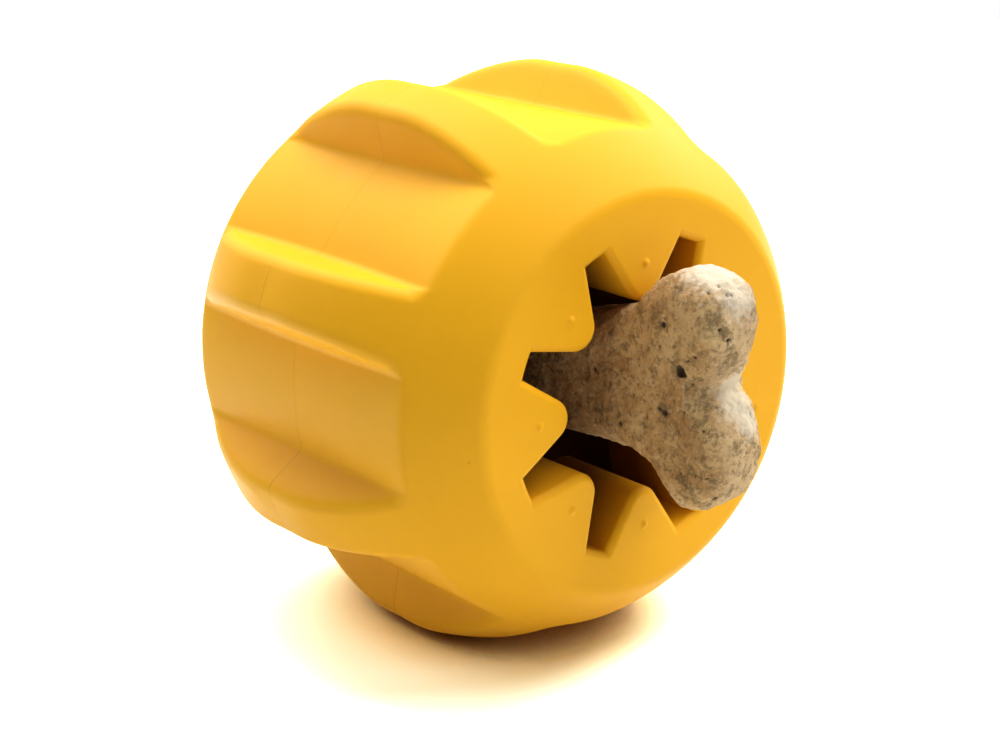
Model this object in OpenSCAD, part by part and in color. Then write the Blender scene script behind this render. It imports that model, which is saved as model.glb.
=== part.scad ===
// Treat-dispensing chew toy: a hollow rubber ball with flat ends, eight ribs and a toothed mouth,
// with a bone-shaped biscuit held in the mouth. It lies on two ribs, mouth towards -Y.

/* [Barrel] */
// Diameter of the ball that the body is cut from
ball_d = 89.8; // [84:0.2:100]
// Diameter across the level middle stretch of the rib crowns
crown_d = 89; // [82:0.5:98]
// Length of the body from front face to rear face
barrel_l = 68; // [60:1:76]
// Diameter across the floors of opposite valleys
valley_d = 74.2; // [70:0.5:80]
// Width of a rib where its walls leave the valley floor
rib_root_w = 13; // [10:0.5:18]
// Width of a rib at its crown
rib_top_w = 8; // [4:0.2:10]
// Radius of the fillet between a rib's wall and the valley floor
rib_fillet_r = 1.5; // [1:0.5:5]
// Radius of the soft edge round each end face
face_edge_r = 3; // [2:0.5:7]

/* [Mouth] */
// Diameter across the floors of opposite notches
mouth_d = 47.8; // [44:0.2:52]
// Width of a notch at its floor
notch_w = 5.1; // [3:0.1:7]
// Diameter of the opening that the tooth crests leave
crest_d = 26.3; // [22:0.1:30]
// Radius of a tooth's rounded crest
crest_r = 2.6; // [1.5:0.1:3.5]
// Depth of the teeth behind the front face
tooth_l = 18.5; // [12:0.5:22]
// Bevel on the front end of a tooth's crest
crest_bevel = 1.2; // [0.4:0.1:2.5]
// How far a tooth leans to each side, in degrees
tooth_lean = 10; // [4:1:12]
// Radius of the bead at a tooth's root, which it leans about
bead_r = 1.2; // [0.8:0.1:1.8]
// How far the bead's centre lies behind the tooth's seat
bead_set = 0.4; // [0.2:0.1:0.6]
// Thickness of the web between a tooth and its bead
web_t = 1.6; // [1:0.1:2]
// Diameter of the moulding pip on a tooth's front face
pip_d = 1.4; // [0.8:0.1:2.5]
// Height of the pip
pip_h = 0.4; // [0.2:0.1:0.8]
// Diameter of the circle that the pips lie on
pip_circle_d = 39.2; // [34:0.2:42]

/* [Cavity] */
// Diameter of the treat cavity
cavity_d = 55; // [48:1:60]
// Length of the slope from the throat out to the cavity wall
shoulder_l = 3; // [1:0.5:6]
// Thickness of the rear wall
rear_wall = 8; // [5:0.5:12]
// Radius of the cavity's rear corner
cavity_edge_r = 6; // [2:0.5:10]
// Diameter of the vent hole in the rear wall
vent_d = 8; // [5:0.5:12]

/* [Biscuit] */
// Length of the biscuit
biscuit_l = 63; // [56:1:70]
// Width of the biscuit over its two lobes
biscuit_w = 33.8; // [30:0.2:36]
// Diameter of a lobe
lobe_d = 18; // [15:0.5:19]
// Width of the shaft between the lobes
shaft_w = 17.8; // [15:0.2:19]
// Thickness of the biscuit
biscuit_t = 11.5; // [8:0.5:13]
// Radius of the baked round edge
biscuit_edge_r = 3.4; // [1.5:0.1:4]
// Radius of the hollow between shaft and lobe
waist_r = 12; // [9:0.5:16]
// Radius of the hollow between the two lobes of one end
end_hollow_r = 3; // [1.5:0.5:5]
// Length of biscuit that stands out of the mouth
biscuit_out = 19.7; // [17:0.1:21]
// Distance from the crest circle in to the biscuit's middle line, at the front face
biscuit_drop = 10.9; // [10.7:0.05:12]
// How much the outer end is tipped up, in degrees
biscuit_tip = 7; // [2:0.5:7]

/* [Fits] */
// Clearance round the bead in its groove
bead_gap = 0.15; // [0.1:0.01:0.3]
// Clearance between a tooth's root and its seat
seat_gap = 0.25; // [0.15:0.01:0.5]

/* [Hidden] */
$fn = 96;
rubber = [0.96, 0.70, 0.13];
rubber_rear = [0.90, 0.63, 0.10];
rubber_tooth = [0.98, 0.76, 0.22];
baked = [0.72, 0.60, 0.45];

teeth = 8;
step = 360 / teeth;
cut = 1;
half_l = barrel_l / 2;
ball_r = ball_d / 2;
crown_r = crown_d / 2;
valley_r = valley_d / 2;
mouth_r = mouth_d / 2;
cavity_r = cavity_d / 2;

// The soft edge is tangent to the end face and, from inside, to the ball
rim_r = sqrt(pow(ball_r - face_edge_r, 2) - pow(half_l - face_edge_r, 2));
rim_angle = atan2(half_l - face_edge_r, rim_r);

// Flank of a rib, from the valley floor to the crown: x across the rib, y along the radius
root_pt = [rib_root_w / 2, sqrt(pow(valley_r, 2) - pow(rib_root_w / 2, 2))];
top_pt = [rib_top_w / 2, sqrt(pow(crown_r, 2) - pow(rib_top_w / 2, 2))];
flank = (top_pt - root_pt) / norm(top_pt - root_pt);
flank_out = [flank.y, -flank.x];
// The fillet's centre is one fillet radius from both the flank and the valley floor
fillet_base = root_pt + rib_fillet_r * flank_out;
fillet_along = fillet_base * flank;
fillet_slide = sqrt(pow(fillet_along, 2) - fillet_base * fillet_base + pow(valley_r + rib_fillet_r, 2));
fillet_c = fillet_base + (fillet_slide - fillet_along) * flank;
fillet_from = atan2(-fillet_c.y, -fillet_c.x);
fillet_to = atan2(-flank_out.y, -flank_out.x);

// A tooth's seat is the flat chord between two notches
notch_angle = 2 * asin(notch_w / 2 / mouth_r);
tooth_half_angle = (step - notch_angle) / 2;
seat_half_w = mouth_r * sin(tooth_half_angle);
seat_y = mouth_r * cos(tooth_half_angle);
hinge_y = seat_y + bead_set;
root_half_w = seat_half_w - bead_gap;
root_y = seat_y - seat_gap;
root_drop = root_half_w * tan(tooth_lean);
crest_c = crest_d / 2 + crest_r;
corner = [root_half_w, root_y - root_drop];
to_corner = corner - [0, crest_c];
crest_from = atan2(to_corner.y, to_corner.x) - acos(crest_r / norm(to_corner));

// The barrel's axis lies this high when two ribs touch the ground
axis_h = crown_r * cos(step / 2 - asin(rib_top_w / 2 / crown_r));

lobe_r = lobe_d / 2;
lobe_x = biscuit_l / 2 - lobe_r;
lobe_y = biscuit_w / 2 - lobe_r;
waist_y = shaft_w / 2 + waist_r;
waist_x = lobe_x - sqrt(pow(lobe_r + waist_r, 2) - pow(waist_y - lobe_y, 2));
waist_angle = atan2(waist_y - lobe_y, waist_x - lobe_x);
hollow_x = lobe_x + sqrt(pow(lobe_r + end_hollow_r, 2) - pow(lobe_y, 2));
hollow_angle = atan2(lobe_y, lobe_x - hollow_x);
// The biscuit is pinched under the top tooth, so its height follows the crest circle
biscuit_rise = crest_d / 2 - biscuit_drop;
biscuit_in = biscuit_l / 2 - biscuit_out;
biscuit_z = half_l - biscuit_in * cos(biscuit_tip);
biscuit_y = biscuit_rise - biscuit_in * sin(biscuit_tip);
edge_steps = 4;
hollow_steps = 3;
lobe_steps = 14;
waist_steps = 5;

// The whole length, biscuit included, is centred on the origin
reach = biscuit_z + lobe_x * cos(biscuit_tip) + lobe_y * sin(biscuit_tip) + lobe_r;
mid_y = (reach - half_l) / 2;

// Points on an arc about c, from angle a0 to angle a1
function arc(c, r, a0, a1, n) = [for (i = [0:n]) c + r * [cos(a0 + (a1 - a0) * i / n), sin(a0 + (a1 - a0) * i / n)]];
function flip_x(pts) = [for (p = pts) [-p.x, p.y]];
function flip_y(pts) = [for (p = pts) [p.x, -p.y]];
function reverse(pts) = [for (i = [len(pts) - 1:-1:0]) pts[i]];

// Stands the barrel's own frame, z out of the mouth and y up, into place
module in_place() {
    translate([0, mid_y, axis_h]) rotate([90, 0, 0]) children();
}

// Half of one rib's section, from its fillet on the valley floor up past the crown
function rib_side() = concat(
    arc(fillet_c, rib_fillet_r, fillet_from, fillet_to, 5),
    [top_pt + (ball_r - crown_r + cut) * flank]);

module rib_section() {
    side = rib_side();
    polygon(concat([[0, 0]], side, flip_x(reverse(side))));
}

module ribbed_section() {
    circle(r = valley_r);
    for (i = [0:teeth - 1]) rotate(step * (i + 0.5)) rib_section();
}

// One half of the outer form: ball, level crown and soft edge, on the +z side
module outer_half() {
    rim = arc([rim_r, half_l - face_edge_r], face_edge_r, rim_angle, 90, 6);
    intersection() {
        sphere(r = ball_r);
        rotate_extrude() polygon(concat([[0, 0], [crown_r, 0], [crown_r, rim[0].y]], rim, [[0, half_l]]));
        linear_extrude(height = half_l) ribbed_section();
    }
}

// The mouth's outline in the front wall: notch floors, tooth seats and bead grooves
module mouth_section() {
    difference() {
        circle(r = mouth_r);
        for (i = [0:teeth - 1]) rotate(step * i) translate([-seat_half_w, seat_y]) square([2 * seat_half_w, mouth_r]);
    }
    for (i = [0:teeth - 1]) rotate(step * i) translate([0, hinge_y]) circle(r = bead_r + bead_gap);
}

// The treat cavity: slope behind the teeth, straight wall, round rear corner
module cavity() {
    top_z = half_l - tooth_l;
    floor_z = rear_wall - half_l;
    corner_c = [cavity_r - cavity_edge_r, floor_z + cavity_edge_r];
    rotate_extrude() polygon(concat(
        [[0, top_z], [0, floor_z]],
        arc(corner_c, cavity_edge_r, -90, 0, 6),
        [[cavity_r, top_z - shoulder_l], [mouth_r, top_z]]));
}

module front_shell() color(rubber) in_place() {
    difference() {
        outer_half();
        translate([0, 0, half_l - tooth_l - cut]) linear_extrude(height = tooth_l + 2 * cut) mouth_section();
        cavity();
    }
}

module rear_shell() color(rubber_rear) in_place() {
    difference() {
        mirror([0, 0, 1]) outer_half();
        cavity();
        translate([0, 0, -half_l - cut]) cylinder(r = vent_d / 2, h = rear_wall + 2 * cut);
    }
}

// Section of a tooth that points down at the axis, with its root at the top
module tooth_section() {
    polygon(concat(
        [[web_t / 2, root_y], corner],
        arc([0, crest_c], crest_r, crest_from, -180 - crest_from, 10),
        [[-corner.x, corner.y], [-web_t / 2, root_y]]));
    translate([-web_t / 2, root_y - cut]) square([web_t, hinge_y - root_y + cut]);
    translate([0, hinge_y]) circle(r = bead_r);
}

// A tooth: bevelled at the front end of its crest, with a moulding pip on its face
module tooth(i) color(rubber_tooth) in_place() {
    bevel_r = crest_d / 2 + crest_bevel;
    rotate([0, 0, step * (i - 1)]) {
        difference() {
            translate([0, 0, half_l - tooth_l]) linear_extrude(height = tooth_l) tooth_section();
            translate([0, 0, half_l - crest_bevel])
                cylinder(r1 = crest_d / 2, r2 = bevel_r, h = crest_bevel);
        }
        translate([0, pip_circle_d / 2, half_l - pip_h]) cylinder(r = pip_d / 2, h = 2 * pip_h);
    }
}

function without_first(pts) = [for (i = [1:len(pts) - 1]) pts[i]];

// A quarter of the biscuit's outline, drawn in by inset: end hollow, lobe, waist, each point once
function quarter(inset) = concat(
    arc([hollow_x, 0], end_hollow_r + inset, 180, hollow_angle, hollow_steps),
    without_first(arc([lobe_x, lobe_y], lobe_r - inset, hollow_angle - 180, waist_angle, lobe_steps)),
    without_first(arc([waist_x, waist_y], waist_r + inset, waist_angle - 180, -90, waist_steps)));

// The whole outline, counted round once
function outline(inset) = let (q = quarter(inset), m = without_first(q)) concat(
    q,
    flip_x(reverse(q)),
    flip_x(flip_y(m)),
    flip_y(reverse(m)));

// The same face seen from behind, with its first corner kept
function turned(face) = concat([face[0]], reverse(without_first(face)));

// The flat face of the biscuit in pieces without hollows, for an outline of n points:
// four lobes, the corners beside the end hollows, the middle of each end, the shaft
function flat_pieces(n) = let (
    half = n / 2,
    root = hollow_steps + lobe_steps,
    lobe = [for (i = [hollow_steps:root]) i],
    corner_piece = concat([root], [for (i = [0:hollow_steps]) i]),
    pieces = [lobe, corner_piece]) concat(
    pieces,
    [for (f = pieces) [for (i = f) half + i]],
    [for (f = pieces) turned([for (i = f) half - i])],
    [for (f = pieces) turned([for (i = f) (n - i) % n])],
    [[n - root, 0, root], [half - root, half, half + root]],
    [for (i = [root:half - root - 1]) [i, i + 1, n - i - 1, n - i]]);

// A baked bone: its outline at each level of the round edge, skinned from face to face
module biscuit() color(baked) in_place() {
    turns = [for (j = [0:edge_steps]) 90 * j / edge_steps];
    lower = [for (a = reverse(turns)) [-(biscuit_t / 2 - biscuit_edge_r) - biscuit_edge_r * sin(a), a]];
    upper = [for (a = turns) [biscuit_t / 2 - biscuit_edge_r + biscuit_edge_r * sin(a), a]];
    levels = concat(lower, upper);
    rings = [for (l = levels) [for (p = outline(biscuit_edge_r * (1 - cos(l[1])))) [l[0], p.y, p.x]]];
    n = len(rings[0]);
    last = len(levels) - 1;
    sides = [for (j = [0:last - 1], i = [0:n - 1], h = [0, 1]) let (k = (i + 1) % n) h == 0
        ? [j * n + i, j * n + k, (j + 1) * n + k]
        : [j * n + i, (j + 1) * n + k, (j + 1) * n + i]];
    low_faces = [for (f = flat_pieces(n)) turned(f)];
    high_faces = [for (f = flat_pieces(n)) [for (i = f) last * n + i]];
    translate([0, biscuit_y, biscuit_z]) rotate([-biscuit_tip, 0, 0])
        polyhedron(points = [for (r = rings) each r], faces = concat(low_faces, sides, high_faces), convexity = 6);
}

front_shell();
rear_shell();
tooth(1);  // tooth_1
tooth(2);  // tooth_2
tooth(3);  // tooth_3
tooth(4);  // tooth_4
tooth(5);  // tooth_5
tooth(6);  // tooth_6
tooth(7);  // tooth_7
tooth(8);  // tooth_8
biscuit();
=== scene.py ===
import math

import bmesh
import bpy
import numpy as np
from mathutils import Matrix, Vector, noise


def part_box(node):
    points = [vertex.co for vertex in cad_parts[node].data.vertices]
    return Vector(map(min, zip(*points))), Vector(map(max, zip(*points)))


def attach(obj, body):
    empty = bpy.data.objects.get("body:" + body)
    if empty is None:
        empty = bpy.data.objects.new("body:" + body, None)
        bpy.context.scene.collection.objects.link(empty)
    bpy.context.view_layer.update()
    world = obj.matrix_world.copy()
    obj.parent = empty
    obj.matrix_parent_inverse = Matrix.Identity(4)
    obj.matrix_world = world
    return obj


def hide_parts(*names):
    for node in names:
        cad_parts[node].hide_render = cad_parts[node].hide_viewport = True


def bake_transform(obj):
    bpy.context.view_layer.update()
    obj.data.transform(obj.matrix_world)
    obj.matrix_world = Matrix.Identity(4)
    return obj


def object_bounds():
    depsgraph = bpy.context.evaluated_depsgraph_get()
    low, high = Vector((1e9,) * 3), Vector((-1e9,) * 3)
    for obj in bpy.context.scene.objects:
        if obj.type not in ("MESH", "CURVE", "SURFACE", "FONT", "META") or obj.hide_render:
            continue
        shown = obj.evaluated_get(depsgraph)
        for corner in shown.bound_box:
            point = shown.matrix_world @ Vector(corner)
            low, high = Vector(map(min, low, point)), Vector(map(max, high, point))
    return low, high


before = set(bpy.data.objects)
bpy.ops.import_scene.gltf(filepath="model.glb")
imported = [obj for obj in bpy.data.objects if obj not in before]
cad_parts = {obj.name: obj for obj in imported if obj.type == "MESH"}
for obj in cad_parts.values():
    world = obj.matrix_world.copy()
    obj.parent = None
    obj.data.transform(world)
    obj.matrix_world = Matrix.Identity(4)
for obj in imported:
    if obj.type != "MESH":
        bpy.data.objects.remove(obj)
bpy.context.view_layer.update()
scene = bpy.context.scene
scene.view_settings.view_transform = "Standard"

# Where the toy lies. The two body halves meet at the seam, the mouth faces -Y, and the barrel's
# axis runs level through the middle of the front half. All sizes below are in millimetres.
MM = 0.001

shell_low, shell_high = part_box("front_shell")
seam_y = shell_high.y / MM
mouth_y = shell_low.y / MM
axis_z = (shell_low.z + shell_high.z) / 2 / MM
half_l = seam_y - mouth_y


def from_axis(x, up, out):
    """A point beside the barrel's axis, out of the mouth from the seam, in metres."""
    return Vector((x * MM, (seam_y - out) * MM, (axis_z + up) * MM))


# The camera stands in front of the mouth, to the left of the toy's axis and above it, with a
# short telephoto lens, and looks past the middle of the mouth. The toy in the photograph has
# rolled a little on its ribs, so the camera is turned about the toy's axis by as much.
LENS = 71.3
SENSOR = 36
CLIP_FROM = 0.01
VIEW_SIDE = math.radians(39.332)
VIEW_DOWN = math.radians(17.027)
TOY_ROLL = math.radians(1.174)
MOUTH_RIGHT, MOUTH_BELOW, MOUTH_AWAY = 20.63, 3.04, 281.61

look = Vector((math.cos(VIEW_DOWN) * math.sin(VIEW_SIDE),
               math.cos(VIEW_DOWN) * math.cos(VIEW_SIDE), -math.sin(VIEW_DOWN)))
right = Vector((math.cos(VIEW_SIDE), -math.sin(VIEW_SIDE), 0))
above = right.cross(look)
mouth_middle = from_axis(0, 0, half_l)
stand = mouth_middle - MM * (MOUTH_RIGHT * right - MOUTH_BELOW * above + MOUTH_AWAY * look)
turn = (Matrix.Translation(mouth_middle) @ Matrix.Rotation(TOY_ROLL, 4, "Y")
        @ Matrix.Translation(-mouth_middle))
axes = Matrix((right, above, -look)).transposed().to_4x4()

camera_data = bpy.data.cameras.new("camera")
camera_data.lens = LENS
camera_data.sensor_width = SENSOR
camera_data.clip_start = CLIP_FROM
camera = bpy.data.objects.new("camera", camera_data)
scene.collection.objects.link(camera)
camera.matrix_world = turn @ Matrix.Translation(stand) @ axes
scene.camera = camera

# The front half of the body: a hollow ball of yellow natural rubber with a flat end, moulded in
# one with its eight ribs and its mouth. One rib with half a valley on each side is modelled, from
# the seam over the flat end and down the throat to the seam again, and repeated round the axis.
RIBS = 8
# The ball that the body is cut from, eased to CROWN_R within CROWN_FLAT of the seam
BALL_R = 44.9
CROWN_R = 44.5
CROWN_FLAT = 4.5
# A rib between two valley floors: half its width at the root and at the crown, and how much of it
# is lost at its ends, then the fillet at its root and the soft edges of crown and flat end
VALLEY_R = 37.1
RIB_ROOT_HALF = 6.1
RIB_TOP_HALF = 4.45
RIB_TAPER = 0.65
RIB_ROOT_FILLET = 0.8
EDGE_R = 2.4
RIM_R = 3.0
# The mouth with its soft edge, the throat as long as the teeth are deep, and the treat's cavity
MOUTH_R = 23.2
EDGE_BEVEL = 1.0
BEVEL_POWER = 1.6
THROAT_L = 18.5
THROAT_MARKS = [1.2, 2.5, 4, 6, 8.5, 12, 15]
SHOULDER_L = 3.0
CAVITY_R = 27.5
# The faint raised flash that the mould leaves on the seam
FLASH_H = 0.03
FLASH_W = 0.16
# Rows and columns of the mesh: rows from the seam to the rim, rows close to an edge that keep it
# crisp, and stretches of columns in degrees, closest together where a rib's edge runs
SEAM_ROWS = [0, 0.07, 0.14, 0.21, 0.3, 0.45, 0.75, 1.15]
BALL_FROM, BALL_ROWS = 0.036, 74
RIM_ROWS = 10
FACE_RING = 0.25
CLOSE_ROW = 0.3
CAVITY_ROW = 6.0
COLUMN_STRETCHES = [(0, 2, 4), (2, 8, 16), (8, 11, 15)]
LAST_COLUMNS = (11, 22.5, 13)
DEEPEST, HALVINGS, MAX_LEAN = 14.0, 40, 0.98
# Points closer than WELD are joined, and edges that turn by more than SHARP_FROM stay sharp
WELD = 0.002
SHARP_FROM = math.radians(38)
NEAR_CIRCLE, NEAR_FACE = 0.02, 0.01
# The rubber's colours, and how far behind the face the painted shade inside the mouth starts and is
# full
RUBBER_TONES = [(0.3, (0.86, 0.412, 0.009)), (0.7, (0.90, 0.438, 0.011))]
SPECK_TONE = (0.45, 0.19, 0.01)
# The colour of the painted shade deep in the mouth
MOUTH_SHADE_TONE = (0.20, 0.070, 0.005)
SEAM_TONE = (0.42, 0.17, 0.006)
SEAM_LINE_HALF = 0.11
SHEEN_FROM, SHEEN_TO = 0.48, 0.58
RUBBER_GLOSS = 0.12
MOUTH_SHADE_FROM, MOUTH_SHADE_TO = 0.6, 10.0
MOUTH_SHADE_WITHIN = CAVITY_R + 0.1
UNSHADED_REAR = 4.0

STEP = math.tau / RIBS
rim_centre_r = math.sqrt((BALL_R - RIM_R) ** 2 - (half_l - RIM_R) ** 2)
rim_from = math.atan2(half_l - RIM_R, rim_centre_r)


def soft_bevel(size, steps):
    """(set back on the face, depth on the wall) along a nearly flat bevel with soft ends."""
    turns = [math.pi / 2 * i / steps for i in range(steps + 1)]
    power = 2 / BEVEL_POWER
    return [(size * (1 - math.sin(t) ** power), size * (1 - math.cos(t) ** power)) for t in turns]


def rib_depth(rho, out, n_rho, n_out, angle):
    """How far below the ball the rubber lies, measured along the ball's normal. It is found by
    halving: ribs and valleys are joined with a fillet, and where the ball cuts them the edge has
    the radius EDGE_R, whatever the angle between the two (lean is that angle's cosine). The ribs
    narrow towards their ends."""
    root = np.array([RIB_ROOT_HALF, math.sqrt(VALLEY_R ** 2 - RIB_ROOT_HALF ** 2)])
    top = np.array([RIB_TOP_HALF, math.sqrt(CROWN_R ** 2 - RIB_TOP_HALF ** 2)])
    along = (top - root) / np.linalg.norm(top - root)
    outward = np.array([along[1], -along[0]])

    def inside(depth):
        r = rho - depth * n_rho
        narrower = RIB_TAPER * (out / half_l) ** 2
        across, up = r * np.sin(np.abs(angle)) + narrower, r * np.cos(angle)
        past_flank = RIB_ROOT_FILLET - (across - root[0]) * outward[0] - (up - root[1]) * outward[1]
        past_floor = RIB_ROOT_FILLET - (r - VALLEY_R)
        flank_part, floor_part = np.maximum(past_flank, 0), np.maximum(past_floor, 0)
        both = np.hypot(flank_part, floor_part)
        section = np.where(both > 0, both, np.maximum(past_flank, past_floor)) - RIB_ROOT_FILLET
        ball = depth - (BALL_R - CROWN_R) * np.exp(-(out / CROWN_FLAT) ** 2)
        faces_out = outward[0] * np.sin(np.abs(angle)) + outward[1] * np.cos(angle)
        lean = n_rho * (flank_part * faces_out + floor_part) / np.maximum(both, 1e-6)
        lean = np.clip(lean, 0, MAX_LEAN)
        from_section, from_ball = EDGE_R - section, EDGE_R - ball
        in_edge = (from_section > lean * from_ball) & (from_ball > lean * from_section)
        square = from_section ** 2 + from_ball ** 2 - 2 * lean * from_section * from_ball
        rounded = EDGE_R - np.sqrt(np.maximum(square, 0) / (1 - lean ** 2))
        return np.where(in_edge, rounded, np.minimum(section, ball))

    low, high = np.zeros_like(rho + angle), np.full_like(rho + angle, DEEPEST)
    for _ in range(HALVINGS):
        middle = (low + high) / 2
        out_of_rubber = inside(middle) < 0
        low, high = np.where(out_of_rubber, middle, low), np.where(out_of_rubber, high, middle)
    return (low + high) / 2


half_columns = np.radians(np.concatenate(
    [np.linspace(*stretch, endpoint=False) for stretch in COLUMN_STRETCHES]
    + [np.linspace(*LAST_COLUMNS)]))
columns = np.concatenate([-half_columns[:0:-1], half_columns])


def outer_rows():
    """Rows from the seam to the edge of the mouth: distance from the axis, out, for each column."""
    seam = np.arcsin(np.array(SEAM_ROWS) / BALL_R)
    lat = np.concatenate([seam, np.linspace(BALL_FROM, rim_from, BALL_ROWS)])
    rim = np.linspace(rim_from, math.pi / 2, RIM_ROWS)[1:]
    rho = np.concatenate([BALL_R * np.cos(lat), rim_centre_r + RIM_R * np.cos(rim)])
    out = np.concatenate([BALL_R * np.sin(lat), half_l - RIM_R + RIM_R * np.sin(rim)])
    normal = np.concatenate([lat, rim])
    n_rho, n_out = np.cos(normal)[:, None], np.sin(normal)[:, None]
    depth = rib_depth(rho[:, None], out[:, None], n_rho, n_out, columns[None, :])
    flash = FLASH_H * np.exp(-(out / FLASH_W) ** 2)[:, None]
    lift = flash - depth
    lift[len(lat):] = 0
    return rho[:, None] + lift * n_rho, out[:, None] + lift * n_out


def wedge_mesh(name, rho, out, sign):
    """A skin over rows and columns round the axis, closed from the last row back to the first.
    Its axis is laid on Y at height zero, and sign -1 mirrors it to the rear half."""
    rows, count = rho.shape
    points = [((rho[j, i] * math.sin(a)) * MM, (seam_y - sign * out[j, i]) * MM,
               (rho[j, i] * math.cos(a)) * MM)
              for j in range(rows) for i, a in enumerate(columns)]
    faces = []
    for j in range(rows):
        k = (j + 1) % rows
        for i in range(count - 1):
            quad = [j * count + i, j * count + i + 1, k * count + i + 1, k * count + i]
            faces.append(quad if sign < 0 else quad[::-1])
    mesh = bpy.data.meshes.new(name)
    mesh.from_pydata(points, [], faces)
    return mesh


def inner_rows(profile):
    """The rows of the plain turned surfaces inside: the same radius in each column."""
    rho = np.array([p[0] for p in profile])[:, None] + np.zeros(len(columns))
    out = np.array([p[1] for p in profile])[:, None] + np.zeros(len(columns))
    return rho, out


def ring_tree():
    """Repeats a piece round the barrel's axis, welds the copies and gives them their material."""
    tree = bpy.data.node_groups.new("round_the_axis", "GeometryNodeTree")
    face = tree.interface
    face.new_socket("Piece", in_out="INPUT", socket_type="NodeSocketGeometry")
    for label, kind in (("Copies", "NodeSocketInt"), ("Step", "NodeSocketFloat"),
                        ("First turn", "NodeSocketFloat"), ("Axis height", "NodeSocketFloat"),
                        ("Weld", "NodeSocketFloat"), ("Material", "NodeSocketMaterial")):
        face.new_socket(label, in_out="INPUT", socket_type=kind)
    face.new_socket("Ring", in_out="OUTPUT", socket_type="NodeSocketGeometry")
    add, link = tree.nodes.new, tree.links.new
    given, result = add("NodeGroupInput"), add("NodeGroupOutput")
    points, place = add("GeometryNodePoints"), add("ShaderNodeCombineXYZ")
    index, angle = add("GeometryNodeInputIndex"), add("ShaderNodeMath")
    turned = add("ShaderNodeCombineXYZ")
    copies, realize = add("GeometryNodeInstanceOnPoints"), add("GeometryNodeRealizeInstances")
    weld, paint = add("GeometryNodeMergeByDistance"), add("GeometryNodeSetMaterial")
    angle.operation = "MULTIPLY_ADD"
    link(given.outputs["Copies"], points.inputs["Count"])
    link(given.outputs["Axis height"], place.inputs["Z"])
    link(place.outputs["Vector"], points.inputs["Position"])
    link(index.outputs["Index"], angle.inputs[0])
    link(given.outputs["Step"], angle.inputs[1])
    link(given.outputs["First turn"], angle.inputs[2])
    link(angle.outputs["Value"], turned.inputs["Y"])
    link(points.outputs["Points"], copies.inputs["Points"])
    link(given.outputs["Piece"], copies.inputs["Instance"])
    link(turned.outputs["Vector"], copies.inputs["Rotation"])
    link(copies.outputs["Instances"], realize.inputs["Geometry"])
    link(realize.outputs["Geometry"], weld.inputs["Geometry"])
    link(given.outputs["Weld"], weld.inputs["Distance"])
    link(weld.outputs["Geometry"], paint.inputs["Geometry"])
    link(given.outputs["Material"], paint.inputs["Material"])
    link(paint.outputs["Geometry"], result.inputs["Ring"])
    return tree


round_the_axis = ring_tree()


def mark_circle_sharp(mesh, r):
    """Marks the circle of that radius on the front face sharp, so that the flat face keeps its
    shading right up to the roots of the teeth."""
    on_circle = []
    for vertex in mesh.vertices:
        beside = math.hypot(vertex.co.x / MM, vertex.co.z / MM - axis_z)
        level = abs(vertex.co.y / MM - mouth_y) < NEAR_FACE
        on_circle.append(level and abs(beside - r) < NEAR_CIRCLE)
    sharp = mesh.attributes["sharp_edge"]
    for edge in mesh.edges:
        if on_circle[edge.vertices[0]] and on_circle[edge.vertices[1]]:
            sharp.data[edge.index].value = True


def mark_inside(mesh):
    """Stores how deep each point lies in the mouth, from 0 outside to 1, as "inside", which sets the
    painted shade.
    """
    depths = []
    for vertex in mesh.vertices:
        beside = math.hypot(vertex.co.x / MM, vertex.co.z / MM - axis_z)
        deep = vertex.co.y / MM - mouth_y
        hidden = beside < MOUTH_SHADE_WITHIN and deep < 2 * half_l - UNSHADED_REAR
        share = (deep - MOUTH_SHADE_FROM) / (MOUTH_SHADE_TO - MOUTH_SHADE_FROM)
        depths.append(min(max(share, 0), 1) if hidden else 0)
    mesh.attributes.new("inside", "FLOAT", "POINT").data.foreach_set("value", depths)


def finished_mesh(piece):
    """The piece's mesh with its modifiers applied. They are removed from the piece."""
    bpy.context.view_layer.update()
    evaluated = piece.evaluated_get(bpy.context.evaluated_depsgraph_get())
    mesh = bpy.data.meshes.new_from_object(evaluated)
    piece.modifiers.clear()
    return mesh


def put_round_axis(name, mesh, copies, first, material, face_seam_r=None):
    """Runs the ring tree on a mesh that is modelled at the top of the axis, and keeps the result
    as a plain mesh with smooth faces, sharp corners and outward normals."""
    piece = bpy.data.objects.new(name, mesh)
    scene.collection.objects.link(piece)
    ring = piece.modifiers.new("ring", "NODES")
    ring.node_group = round_the_axis
    listed = round_the_axis.interface.items_tree
    sockets = {s.name: s.identifier for s in listed if s.in_out == "INPUT"}
    values = {"Copies": copies, "Step": STEP, "First turn": first, "Axis height": axis_z * MM,
              "Weld": WELD * MM, "Material": material}
    for label, value in values.items():
        ring[sockets[label]] = value
    done = finished_mesh(piece)
    work = bmesh.new()
    work.from_mesh(done)
    bmesh.ops.recalc_face_normals(work, faces=work.faces)
    for polygon in work.faces:
        polygon.smooth = True
    work.to_mesh(done)
    work.free()
    done.set_sharp_from_angle(angle=SHARP_FROM)
    if face_seam_r:
        mark_circle_sharp(done, face_seam_r)
    done.name = name
    piece.data = done
    piece.modifiers.new("face weighted shading", "WEIGHTED_NORMAL").keep_sharp = True
    shaded = finished_mesh(piece)
    shaded.name = name
    mark_inside(shaded)
    piece.data = shaded
    return piece


def new_material(name):
    """A material, the node tree that colours it and its shader."""
    material = bpy.data.materials.new(name)
    material.use_nodes = True
    return material, material.node_tree, material.node_tree.nodes["Principled BSDF"]


def own_place(tree):
    """The point's place in the piece's own coordinates."""
    node = tree.nodes.get("own place") or tree.nodes.new("ShaderNodeTexCoord")
    node.name = "own place"
    return node.outputs["Object"]


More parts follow.
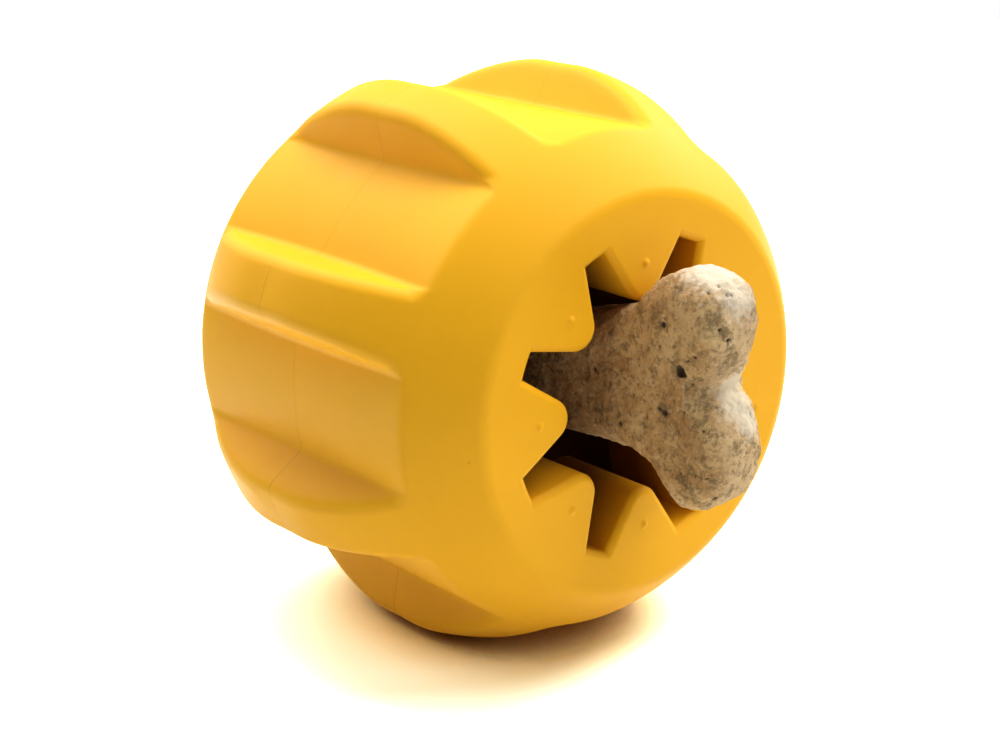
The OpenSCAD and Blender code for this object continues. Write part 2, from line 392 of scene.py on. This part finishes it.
def cloud(tree, scale, detail, rough=0.5, warp=0.0):
    """Soft noise from 0 to 1, fixed to the piece."""
    node = tree.nodes.new("ShaderNodeTexNoise")
    node.inputs["Scale"].default_value = scale
    node.inputs["Detail"].default_value = detail
    node.inputs["Roughness"].default_value = rough
    node.inputs["Distortion"].default_value = warp
    tree.links.new(own_place(tree), node.inputs["Vector"])
    return node.outputs["Fac"]


def ramp(tree, value, stops):
    """The value turned into a colour by (value, colour) stops."""
    node = tree.nodes.new("ShaderNodeValToRGB")
    while len(node.color_ramp.elements) < len(stops):
        node.color_ramp.elements.new(1.0)
    for element, (place, colour) in zip(node.color_ramp.elements, stops):
        element.position = place
        element.color = (*colour, 1)
    tree.links.new(value, node.inputs["Fac"])
    return node.outputs["Color"]


def grey(tree, value, start, end, full=1.0, least=0.0):
    """A grey that runs from least to full while the value runs from start to end."""
    return ramp(tree, value, [(start, (least, least, least)), (end, (full, full, full))])


def stored(tree, label):
    """A value that is stored on the mesh."""
    node = tree.nodes.new("ShaderNodeAttribute")
    node.attribute_name = label
    return node.outputs["Fac"]


def mixed(tree, base, other, factor):
    """The base colour with that share of another over it."""
    node = tree.nodes.new("ShaderNodeMix")
    node.data_type = "RGBA"
    node.inputs["B"].default_value = (*other, 1)
    tree.links.new(base, node.inputs["A"])
    tree.links.new(factor, node.inputs["Factor"])
    return node.outputs["Result"]


def product(tree, one, other):
    """One value times another."""
    node = tree.nodes.new("ShaderNodeMath")
    node.operation = "MULTIPLY"
    tree.links.new(one, node.inputs[0])
    tree.links.new(other, node.inputs[1])
    return node.outputs["Value"]


def roughen(tree, shader, height, strength, depth):
    """Fine relief, as a bump of that depth in metres."""
    node = tree.nodes.new("ShaderNodeBump")
    node.inputs["Strength"].default_value = strength
    node.inputs["Distance"].default_value = depth
    tree.links.new(height, node.inputs["Height"])
    tree.links.new(node.outputs["Normal"], shader.inputs["Normal"])


# Satin moulded skin: faint clouding in the colour, a fine grain, and a few dark specks from the
# mould. Painted shade darkens it down the throat, and the seam holds a thin uneven dirt line.
rubber, tree, shader = new_material("natural_rubber")
tone = ramp(tree, cloud(tree, 45, 3), RUBBER_TONES)
specks = tree.nodes.new("ShaderNodeTexVoronoi")
specks.inputs["Scale"].default_value = 95
tree.links.new(own_place(tree), specks.inputs["Vector"])
dots = grey(tree, specks.outputs["Distance"], 0.012, 0.026, 0.0, 0.8)
few = grey(tree, cloud(tree, 60, 1), 0.62, 0.68)
tone = mixed(tree, tone, SPECK_TONE, product(tree, dots, few))
# Painted shade: the rubber darkens the deeper it lies in the mouth
tone = mixed(tree, tone, MOUTH_SHADE_TONE, grey(tree, stored(tree, "inside"), 0.0, 1.0))
along = tree.nodes.new("ShaderNodeSeparateXYZ")
tree.links.new(own_place(tree), along.inputs["Vector"])
on_seam = tree.nodes.new("ShaderNodeMath")
on_seam.operation = "COMPARE"
on_seam.inputs[1].default_value = seam_y * MM
on_seam.inputs[2].default_value = SEAM_LINE_HALF * MM
tree.links.new(along.outputs["Y"], on_seam.inputs[0])
dirt = product(tree, on_seam.outputs["Value"], cloud(tree, 130, 2))
tone = mixed(tree, tone, SEAM_TONE, grey(tree, dirt, 0.3, 0.6, 0.35))
tree.links.new(tone, shader.inputs["Base Color"])
sheen = tree.nodes.new("ShaderNodeMapRange")
sheen.inputs["To Min"].default_value = SHEEN_FROM
sheen.inputs["To Max"].default_value = SHEEN_TO
tree.links.new(cloud(tree, 300, 4), sheen.inputs["Value"])
tree.links.new(sheen.outputs["Result"], shader.inputs["Roughness"])
roughen(tree, shader, cloud(tree, 2600, 3, 0.6), 0.12, 0.12 * MM)
shader.inputs["Specular IOR Level"].default_value = RUBBER_GLOSS

outer_rho, outer_out = outer_rows()
bevel = soft_bevel(EDGE_BEVEL, 6)
throat_out = half_l - THROAT_L
front_profile = (
    [(MOUTH_R + EDGE_BEVEL + FACE_RING, half_l)]
    + [(MOUTH_R + back, half_l - deep) for back, deep in bevel]
    + [(MOUTH_R, half_l - deep) for deep in THROAT_MARKS]
    + [(MOUTH_R, throat_out + CLOSE_ROW), (MOUTH_R, throat_out),
       (CAVITY_R, throat_out - SHOULDER_L), (CAVITY_R, throat_out - SHOULDER_L - CLOSE_ROW),
       (CAVITY_R, CAVITY_ROW), (CAVITY_R, 0)])
inner_rho, inner_out = inner_rows(front_profile)
front_shell = put_round_axis(
    "toy_front_half", wedge_mesh("rib_front", np.vstack([outer_rho, inner_rho]),
                                 np.vstack([outer_out, inner_out]), 1),
    RIBS, STEP / 2, rubber, MOUTH_R + EDGE_BEVEL)
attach(front_shell, "toy")
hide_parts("front_shell")

# The rear half of the body: the same rubber and the same ribs, bonded to the front half at the
# seam. It is closed by a flat wall with one small vent, so that the toy can't hold suction.
REAR_WALL = 8.0
CAVITY_EDGE_R = 6.0
CORNER_ROWS = 7
VENT_R = 4.0
VENT_EDGE = 0.7
FLAT_ROWS = (0.4, 8.0)

vent_edge = soft_bevel(VENT_EDGE, 4)
corner = [(CAVITY_R - CAVITY_EDGE_R * (1 - math.cos(t)),
           half_l - REAR_WALL - CAVITY_EDGE_R * (1 - math.sin(t)))
          for t in np.linspace(math.pi / 2, 0, CORNER_ROWS)]
rear_profile = (
    [(rim_centre_r - back, half_l) for back in FLAT_ROWS]
    + [(VENT_R + VENT_EDGE + FACE_RING, half_l)]
    + [(VENT_R + back, half_l - deep) for back, deep in vent_edge]
    + [(VENT_R, half_l - REAR_WALL + VENT_EDGE)]
    + [(VENT_R + back, half_l - REAR_WALL + deep) for back, deep in vent_edge[::-1]]
    + corner + [(CAVITY_R, CAVITY_ROW), (CAVITY_R, 0)])
inner_rho, inner_out = inner_rows(rear_profile)
rear_shell = put_round_axis(
    "toy_rear_half", wedge_mesh("rib_rear", np.vstack([outer_rho, inner_rho]),
                                np.vstack([outer_out, inner_out]), -1), RIBS, STEP / 2, rubber)
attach(rear_shell, "toy")
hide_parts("rear_shell")

# The eight teeth: blunt rubber wedges, one moulding with the front half. Each is a deep ridge
# with a bevelled front edge, a round crest and a small moulding pip.
CREST_R = 3.1
CREST_MIDDLE = 17.1
NOTCH_HALF = 1.95
BACK_BEVEL = 0.5
FLANK_STEPS, CREST_STEPS = 10, 16
CORNER_GAP = 0.002
# The pip's radius and height, its distance from the axis and how far its foot spreads
PIP_R = 0.68
PIP_H = 0.42
PIP_AT = 19.6
PIP_FOOT = 1.3
PIP_RINGS, PIP_SIDES = 7, 20

root_half_angle = STEP / 2 - math.asin(NOTCH_HALF / MOUTH_R)
root_corner = MOUTH_R * Vector((math.sin(root_half_angle), math.cos(root_half_angle)))
crest_point = Vector((0, CREST_MIDDLE))
to_root = root_corner - crest_point
flank_angle = math.atan2(to_root.y, to_root.x) - math.acos(CREST_R / to_root.length)
flank = Vector((-math.sin(flank_angle), math.cos(flank_angle)))


def flank_ends(inset, root_r):
    """Where a flank, drawn in by inset, leaves the crest and where it meets the circle root_r."""
    start = crest_point + (CREST_R - inset) * Vector((math.cos(flank_angle), math.sin(flank_angle)))
    b, c = start.dot(flank), start.length_squared - root_r ** 2
    return start, start + flank * (math.sqrt(b * b - c) - b)


def tooth_loop(inset, root_r):
    """A tooth's outline, drawn in by inset, with its root on the circle root_r."""
    start, end = flank_ends(inset, root_r)
    side = [end.lerp(start, i / FLANK_STEPS) for i in range(FLANK_STEPS)]
    sweep = [flank_angle - (math.pi + 2 * flank_angle) * i / CREST_STEPS
             for i in range(CREST_STEPS + 1)]
    crest = [crest_point + (CREST_R - inset) * Vector((math.cos(a), math.sin(a))) for a in sweep]
    left = [Vector((-p.x, p.y)) for p in side[::-1]]
    half = math.atan2(end.x, end.y)
    root = [Vector((root_r * math.sin(a * half), root_r * math.cos(a * half))) for a in root_shares]
    return side + crest + left + root


face_root = flank_ends(EDGE_BEVEL, MOUTH_R + EDGE_BEVEL)[1]
face_half_angle = math.atan2(face_root.x, face_root.y)
# The points along a tooth's root lie where the front half has its columns, as shares of its width
root_shares = [float(a) / face_half_angle for a in np.sort(STEP / 2 - half_columns)
               if a < face_half_angle - CORNER_GAP]
root_shares = [-a for a in root_shares[:0:-1]] + root_shares


def tooth_mesh(name):
    """The loops of the front bevel, the wall and the back bevel, with both ends closed. The front
    end has a round hole where the pip's rings start."""
    levels = [(EDGE_BEVEL + FACE_RING, 0, MOUTH_R + EDGE_BEVEL - FACE_RING)]
    levels += [(back, deep, MOUTH_R + back) for back, deep in soft_bevel(EDGE_BEVEL, 7)]
    levels += [(0, deep, MOUTH_R) for deep in THROAT_MARKS + [THROAT_L - BACK_BEVEL - CLOSE_ROW]]
    levels += [(back, THROAT_L - deep, MOUTH_R) for back, deep in soft_bevel(BACK_BEVEL, 4)[::-1]]
    work = bmesh.new()

    def ring(points, out):
        return [work.verts.new((p.x * MM, (seam_y - out) * MM, p.y * MM)) for p in points]

    def skin(a, b):
        for i in range(len(a)):
            k = (i + 1) % len(a)
            work.faces.new((a[i], a[k], b[k], b[i]))

    loops = [ring(tooth_loop(back, root_r), half_l - deep) for back, deep, root_r in levels]
    for a, b in zip(loops, loops[1:]):
        skin(a, b)
    work.faces.new(loops[-1])
    pip_rings = []
    for i in range(PIP_RINGS):
        climb = i / PIP_RINGS
        r = PIP_R * (PIP_FOOT - climb * PIP_FOOT)
        height = PIP_H * (math.cos(math.pi * (1 - climb)) + 1) / 2
        circle = [Vector((r * math.cos(t), PIP_AT + r * math.sin(t)))
                  for t in (math.tau * k / PIP_SIDES for k in range(PIP_SIDES))]
        pip_rings.append(ring(circle, half_l + height))
    for a, b in zip(pip_rings, pip_rings[1:]):
        skin(a, b)
    work.faces.new(pip_rings[-1])
    edges = []
    for loop in (loops[0], pip_rings[0]):
        edges += [work.edges.get((loop[i], loop[(i + 1) % len(loop)])) for i in range(len(loop))]
    bmesh.ops.triangle_fill(work, edges=edges, use_beauty=True)
    mesh = bpy.data.meshes.new(name)
    work.to_mesh(mesh)
    work.free()
    return mesh


for number in range(RIBS):
    body = f"tooth_{number + 1}"
    tooth = put_round_axis(f"mouth_{body}", tooth_mesh(body), 1, -STEP * number, rubber,
                           MOUTH_R + EDGE_BEVEL)
    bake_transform(tooth)
    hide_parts(body)

# The treat: a bone-shaped dog biscuit, cut from rolled dough and baked hard. It is pinched in the
# mouth with its outer end tipped up. The dough has risen to soft uneven edges, and its skin is
# rough with crumbs, bran and small air holes.
BISCUIT_L = 63.0
BISCUIT_T = 11.5
# How far it stands out of the mouth, how far above the axis it passes and how far it tips up
BISCUIT_OUT = 19.3
BISCUIT_RISE = 2.5
BISCUIT_TIP = math.radians(7)
# How far the risen edge draws in and how full it is, then the sheets that it is built from, the
# size of a crumb and how often the crumbs are smoothed
EDGE_IN = 4.4
EDGE_POWER = 2.4
SHEETS = 17
CURVE_STEPS = 8
CRUMB = 0.33
SOFTENED = 5
# Height and pitch of the crust's lumps, its small pits (radius, depth, number), and how ragged a
# spot's edge is and at what pitch
LUMPS = [(0.40, 0.13), (0.26, 0.4), (0.16, 1.0), (0.12, 2.2)]
SMALL_PITS = [(0.3, 0.14, 420), (0.42, 0.24, 150), (0.6, 0.36, 14)]
RAGGED, RAGGED_PITCH = 0.5, 1.6
FULL_PIT = 0.3
PIT_SEED = 11
# Where the edge's painted highlight and the painted shade inside the mouth start, and over how much
EDGE_HIGHLIGHT_FROM, EDGE_HIGHLIGHT_SPAN = 0.66, 0.50
BISCUIT_SHADE_FROM, BISCUIT_SHADE_SPAN = -3, 9
# Colours of the crust, from the baked dough up to the painted shade in its pits. The edge tone and
# the pale tone are painted highlight, the mouth tone painted shade
DOUGH_TONES = [(0.36, (0.34, 0.170, 0.054)), (0.46, (0.47, 0.268, 0.096)),
               (0.54, (0.58, 0.360, 0.142)), (0.66, (0.68, 0.470, 0.215))]
EDGE_HIGHLIGHT_TONE = (0.78, 0.63, 0.42)
BISCUIT_SHADE_TONE = (0.25, 0.120, 0.050)
BRAN_TONE = (0.17, 0.108, 0.040)
GRAIN_TONE = (0.12, 0.075, 0.032)
FLOUR_TONE = (0.78, 0.58, 0.32)
HIGHLIGHT_PATCH_TONE = (0.82, 0.72, 0.54)
PIT_SHADE_TONE = (0.03, 0.017, 0.008)
CRUST_ROUGH = 0.85
CRUST_GLOSS = 0.25

# The cut outline in millimetres along the bone and across it, from the underside of the shaft
# round the outer end, the upper side and the inner end.
bone_points = [(0, -9.1), (10, -9.4), (15.9, -11.2), (20.2, -15.8), (23.6, -16.9), (28.7, -14.0),
               (30.9, -8.0), (29.5, -2.3), (27.6, 0.6), (30.0, 4.0), (32.2, 9.4), (30.4, 15.0),
               (24.6, 17.1), (19.1, 15.1), (14.6, 12.0), (8.0, 10.3), (0, 9.3),
               (-9, 9.3), (-15, 11.6), (-19, 15.6), (-25, 16.9), (-30, 14.2), (-31.3, 9),
               (-30, 3.5), (-28.6, 0), (-29.8, -3.5), (-31.0, -9), (-29.6, -14.2), (-25, -16.8),
               (-19.5, -15.6), (-15, -11.6), (-9, -9.3)]
# Air holes that show on the visible end: across the thickness, along, across, radius and depth
air_holes = [(-5.7, 25.4, 3.7, 0.95, 1.3), (-5.7, 23.1, 9.9, 0.5, 0.6), (-2.0, 31.6, 7.9, 0.4, 0.5),
             (-3.4, 31.5, 9.6, 0.35, 0.4), (-5.7, 28.3, 5.6, 0.3, 0.4), (-5.7, 26.9, 5.2, 0.3, 0.4),
             (-5.0, 27.1, 1.3, 0.4, 0.3), (-5.7, 21.9, -2.5, 0.6, 0.5), (-5.7, 20.9, -2.1, 0.5, 0.4),
             (-4.5, 28.2, -4.5, 0.4, 0.3), (-5.7, 24.1, -10.8, 0.4, 0.3), (-5.0, 28.7, -10.9, 0.4, 0.3),
             (-5.7, 16.1, -0.4, 0.4, 0.3), (-5.7, 24.5, 7.3, 0.35, 0.3), (-5.7, 20.6, 10.6, 0.4, 0.3)]
# Darker patches, rich in bran, and pale patches of painted highlight: across the thickness, along,
# across, radius and strength
bran_patches = [(-5.0, 27.1, 1.3, 2.0, 1), (-3.0, 27.5, -0.7, 2.0, 1), (-5.7, 21.9, -2.5, 1.7, 1),
                (-4.5, 28.2, -4.5, 2.4, 1), (-5.7, 25.2, -10.8, 2.4, 1), (-4.9, 29.0, -10.2, 2.0, 1),
                (-4.6, 30.7, 10.4, 2.0, 1), (-3.0, 31.6, 9.2, 1.6, 1), (-5.7, 23.1, 9.9, 1.5, 1),
                (-5.7, 28.2, 5.9, 1.4, 1), (-5.7, 18.7, 11.5, 2.0, 1)]
highlight_patches = [(1.3, 28.8, -1.3, 3.6, 1), (2.1, 30.0, -4.0, 3.2, 0.9), (1.5, 27.8, 0.7, 2.8, 1),
                (0.0, 27.5, 16.2, 5.4, 1.0), (1.5, 22.5, 16.2, 4.4, 0.9), (0.5, 31.0, 13.5, 4.0, 0.8)]


def smooth_loop(points, steps):
    """A closed curve that runs through the points (Catmull-Rom)."""
    points = np.array(points, float)
    before, after, beyond = (np.roll(points, k, 0) for k in (1, -1, -2))
    t = np.linspace(0, 1, steps, endpoint=False)[None, :, None]
    before, start, after, beyond = (p[:, None] for p in (before, points, after, beyond))
    curve = (2 * start + (after - before) * t
             + (2 * before - 5 * start + 4 * after - beyond) * t ** 2
             + (3 * start - before - 3 * after + beyond) * t ** 3) / 2
    return curve.reshape(-1, 2)


def drawn_in(loop, inset):
    """The loop moved inwards along its own normals."""
    run = np.roll(loop, -1, 0) - np.roll(loop, 1, 0)
    run /= np.linalg.norm(run, axis=1)[:, None]
    return loop - inset * np.column_stack([run[:, 1], -run[:, 0]])


biscuit_in = BISCUIT_L / 2 - BISCUIT_OUT
middle_up = BISCUIT_RISE - biscuit_in * math.sin(BISCUIT_TIP)
middle_out = half_l - biscuit_in * math.cos(BISCUIT_TIP)


def on_biscuit(x, along, across):
    """A point of the biscuit, in metres: across its thickness, along it and across its width."""
    return from_axis(x, middle_up + along * math.sin(BISCUIT_TIP) + across * math.cos(BISCUIT_TIP),
                     middle_out + along * math.cos(BISCUIT_TIP) - across * math.sin(BISCUIT_TIP))


cut_line = smooth_loop(bone_points, CURVE_STEPS)
dough = bmesh.new()
sheets = []
for t in np.linspace(-math.pi / 2, math.pi / 2, SHEETS):
    x = BISCUIT_T / 2 * math.copysign(abs(math.sin(t)) ** (2 / EDGE_POWER), t)
    inset = EDGE_IN * (1 - max(math.cos(t), 0) ** (2 / EDGE_POWER))
    sheets.append([dough.verts.new(on_biscuit(x, *place)) for place in drawn_in(cut_line, inset)])
for a, b in zip(sheets, sheets[1:]):
    for i in range(len(a)):
        k = (i + 1) % len(a)
        dough.faces.new((a[i], a[k], b[k], b[i]))
dough.faces.new(sheets[0])
dough.faces.new(sheets[-1])
bmesh.ops.triangulate(dough, faces=[f for f in dough.faces if len(f.verts) > 4])
bmesh.ops.recalc_face_normals(dough, faces=dough.faces)
dough_mesh = bpy.data.meshes.new("bone_biscuit")
dough.to_mesh(dough_mesh)
dough.free()
biscuit = bpy.data.objects.new("bone_biscuit", dough_mesh)
scene.collection.objects.link(biscuit)
crumbs = biscuit.modifiers.new("crumb", "REMESH")
crumbs.mode = "VOXEL"
crumbs.voxel_size = CRUMB * MM
biscuit.modifiers.new("risen", "SMOOTH").iterations = SOFTENED
baked = finished_mesh(biscuit)

spots = np.zeros(len(baked.vertices) * 3, np.float32)
ways = np.zeros(len(baked.vertices) * 3, np.float32)
baked.vertices.foreach_get("co", spots)
baked.vertices.foreach_get("normal", ways)
spots, ways = spots.reshape(-1, 3) / MM, ways.reshape(-1, 3)
lumps = np.array([sum(height * noise.noise(Vector(p) * pitch) for height, pitch in LUMPS)
                  for p in spots])
ragged = np.array([noise.noise(Vector(p) * RAGGED_PITCH) for p in spots])
pits, bran, painted_highlight = (np.zeros(len(spots)) for _ in range(3))


def crust_spot(*place):
    """The point of the crust nearest to that place."""
    return spots[np.argmin(np.linalg.norm(spots - np.array(on_biscuit(*place)) / MM, axis=1))]


def add_spot(field, centre, r, full):
    """Raises the field to full at the middle of a ragged round spot."""
    near = np.linalg.norm(spots - centre, axis=1) / r * (1 + RAGGED * ragged)
    np.maximum(field, full * np.clip(1 - near ** 2, 0, 1), out=field)


pick = np.random.default_rng(PIT_SEED)
for r, deep, count in SMALL_PITS:
    for centre in spots[pick.integers(0, len(spots), count)]:
        add_spot(pits, centre, r, deep)
for x, along, across, r, deep in air_holes:
    add_spot(pits, crust_spot(x, along, across), r, deep)
for field, patches in ((bran, bran_patches), (painted_highlight, highlight_patches)):
    for x, along, across, r, strength in patches:
        add_spot(field, crust_spot(x, along, across), r, strength)
moved = (spots + ways * (lumps - pits)[:, None]) * MM
baked.vertices.foreach_set("co", moved.astype(np.float32).ravel())
# Painted highlight: the crust is paler where its surface turns away from the flat faces
edge_highlight = np.clip((EDGE_HIGHLIGHT_FROM - np.abs(ways[:, 0])) / EDGE_HIGHLIGHT_SPAN, 0, 1)
# Painted shade: the crust darkens towards and inside the mouth, where the teeth shade it
shade_in_mouth = np.clip((spots[:, 1] - mouth_y - BISCUIT_SHADE_FROM) / BISCUIT_SHADE_SPAN, 0, 1)
for label, values in (("pit", pits / FULL_PIT), ("bran", bran), ("painted_highlight", painted_highlight), ("rim", edge_highlight),
                      ("shade in mouth", shade_in_mouth)):
    field = baked.attributes.new(label, "FLOAT", "POINT")
    field.data.foreach_set("value", values.astype(np.float32))
for polygon in baked.polygons:
    polygon.use_smooth = True
baked.name = "bone_biscuit"
biscuit.data = baked

# The crust from the baked dough up: a painted highlight on the cut edge, painted shade in the
# mouth, flecks of bran and grain, flour, the pale patches of painted highlight and last the
# painted shade in the pits.
crust, tree, shader = new_material("baked_biscuit")
biscuit.data.materials.clear()
biscuit.data.materials.append(crust)
flecks = tree.nodes.new("ShaderNodeMath")
flecks.operation = "MULTIPLY_ADD"
flecks.inputs[1].default_value = 0.10
tree.links.new(stored(tree, "bran"), flecks.inputs[0])
tree.links.new(cloud(tree, 520, 7, 0.74, 0.25), flecks.inputs[2])
grain = cloud(tree, 1200, 5, 0.7, 0.2)
tone = ramp(tree, cloud(tree, 120, 8, 0.68, 0.3), DOUGH_TONES)
# Painted highlight on the edges
tone = mixed(tree, tone, EDGE_HIGHLIGHT_TONE, grey(tree, stored(tree, "rim"), 0.0, 1.0, 0.25))
# Painted shade inside the mouth
tone = mixed(tree, tone, BISCUIT_SHADE_TONE, grey(tree, stored(tree, "shade in mouth"), 0.0, 1.0, 0.3))
tone = mixed(tree, tone, BRAN_TONE, grey(tree, flecks.outputs["Value"], 0.51, 0.62, 0.8))
tone = mixed(tree, tone, GRAIN_TONE, grey(tree, grain, 0.54, 0.64, 0.6))
tone = mixed(tree, tone, FLOUR_TONE, grey(tree, cloud(tree, 2000, 4, 0.7), 0.53, 0.66, 0.4))
# Painted highlights on the lobes' edges and ends
tone = mixed(tree, tone, HIGHLIGHT_PATCH_TONE, grey(tree, stored(tree, "painted_highlight"), 0.0, 0.8, 0.72))
# Painted shade in the pits and air holes
tone = mixed(tree, tone, PIT_SHADE_TONE, grey(tree, stored(tree, "pit"), 0.25, 1.5, 0.95))
tree.links.new(tone, shader.inputs["Base Color"])
roughen(tree, shader, cloud(tree, 1100, 6, 0.7), 0.75, 0.4 * MM)
shader.inputs["Roughness"].default_value = CRUST_ROUGH
shader.inputs["Specular IOR Level"].default_value = CRUST_GLOSS
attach(biscuit, "biscuit")
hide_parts("biscuit")

# The studio: the toy stands on white paper among seven soft boxes, most of the light coming from
# above and behind it. The photograph is exposed until the paper is plain white, so the camera
# sees the paper lighter than the toy does, and slightly green, which keeps the toy's orange
# reflection from turning the shadow pink. Right under the toy a deep, warm shadow is painted
# into the paper's colour.
PAPER_HALF = 0.6
PAPER = 0.78
PAPER_ROUGH = 0.9
PAPER_SEEN = (1.95, 2.25, 2.05)
# How near the toy has to be to deepen its painted shadow, and that painted shadow's tones from
# there outwards
UNDER_TOY = 0.022
UNDER_SAMPLES = 12
PAINTED_SHADOW_TONES = [(0.14, (0.22, 0.115, 0.06)), (0.34, (0.85, 0.68, 0.44)), (0.48, (1, 1, 1))]

floor_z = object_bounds()[0][2]
floor_mesh = bpy.data.meshes.new("floor")
corners = [(-PAPER_HALF, -PAPER_HALF), (PAPER_HALF, -PAPER_HALF), (PAPER_HALF, PAPER_HALF),
           (-PAPER_HALF, PAPER_HALF)]
floor_mesh.from_pydata([(x, y, floor_z) for x, y in corners], [], [(0, 1, 2, 3)])
floor = bpy.data.objects.new("floor", floor_mesh)
scene.collection.objects.link(floor)
paper, tree, shader = new_material("white_paper")
shader.inputs["Base Color"].default_value = (PAPER, PAPER, PAPER, 1)
shader.inputs["Roughness"].default_value = PAPER_ROUGH
# Painted shadow: the paper's seen colour darkens and warms where the toy crowds it
crowded = tree.nodes.new("ShaderNodeAmbientOcclusion")
crowded.samples = UNDER_SAMPLES
crowded.inputs["Distance"].default_value = UNDER_TOY
deepened = tree.nodes.new("ShaderNodeMix")
deepened.data_type = "RGBA"
deepened.blend_type = "MULTIPLY"
deepened.inputs["Factor"].default_value = 1
deepened.inputs["A"].default_value = (*PAPER_SEEN, 1)
tree.links.new(ramp(tree, crowded.outputs["AO"], PAINTED_SHADOW_TONES), deepened.inputs["B"])
exposed = tree.nodes.new("ShaderNodeBsdfDiffuse")
tree.links.new(deepened.outputs["Result"], exposed.inputs["Color"])


def seen_by_camera(tree, toy_sees, camera_sees, target):
    """Gives the camera, mirrors and glass one shader, and all other light the other."""
    rays = tree.nodes.new("ShaderNodeLightPath")
    either = tree.nodes.new("ShaderNodeMath")
    both = tree.nodes.new("ShaderNodeMath")
    choose = tree.nodes.new("ShaderNodeMixShader")
    either.operation = both.operation = "MAXIMUM"
    tree.links.new(rays.outputs["Is Camera Ray"], either.inputs[0])
    tree.links.new(rays.outputs["Is Glossy Ray"], either.inputs[1])
    tree.links.new(either.outputs["Value"], both.inputs[0])
    tree.links.new(rays.outputs["Is Transmission Ray"], both.inputs[1])
    tree.links.new(both.outputs["Value"], choose.inputs[0])
    tree.links.new(toy_sees, choose.inputs[1])
    tree.links.new(camera_sees, choose.inputs[2])
    tree.links.new(choose.outputs["Shader"], target)


seen_by_camera(tree, shader.outputs["BSDF"], exposed.outputs["BSDF"],
               tree.nodes["Material Output"].inputs["Surface"])
floor.data.materials.append(paper)

world = bpy.data.worlds.new("studio")
scene.world = world
world.use_nodes = True
sky = world.node_tree
dark = sky.nodes["Background"]
dark.inputs["Strength"].default_value = 0.0
white = sky.nodes.new("ShaderNodeBackground")
white.inputs["Color"].default_value = (1, 1, 1, 1)
white.inputs["Strength"].default_value = 1.0
seen_by_camera(sky, dark.outputs["Background"], white.outputs["Background"],
               sky.nodes["World Output"].inputs["Surface"])


def soft_box(name, place, size, power):
    """A round soft box, placed by (right, up, away from the camera) from the toy, in metres."""
    data = bpy.data.lights.new(name, "AREA")
    data.shape = "DISK"
    data.size = size
    data.energy = power
    lamp = bpy.data.objects.new(name, data)
    scene.collection.objects.link(lamp)
    ahead = Vector((look.x, look.y, 0)).normalized()
    middle = from_axis(0, 0, 0)
    spot = middle + place[0] * right + Vector((0, 0, place[1])) + place[2] * ahead
    aim = (middle - spot).to_track_quat("-Z", "Y")
    lamp.matrix_world = Matrix.Translation(spot) @ aim.to_matrix().to_4x4()


soft_box("upper right", (0.675, 1.17, 0.0), 0.9, 13.6)
soft_box("back right", (0.54, 0.48, 0.54), 0.6, 5.2)
soft_box("back left", (-1.32, 1.17, 1.32), 1.4, 13.0)
soft_box("front right", (1.32, 1.17, -1.32), 1.4, 11.8)
soft_box("near top", (-0.03, 0.35, 0.04), 0.25, 0.76)
soft_box("near left", (-0.30, 0.19, 0.0), 0.25, 0.22)
soft_box("near back left", (-0.12, 0.30, 0.12), 0.25, 0.56)
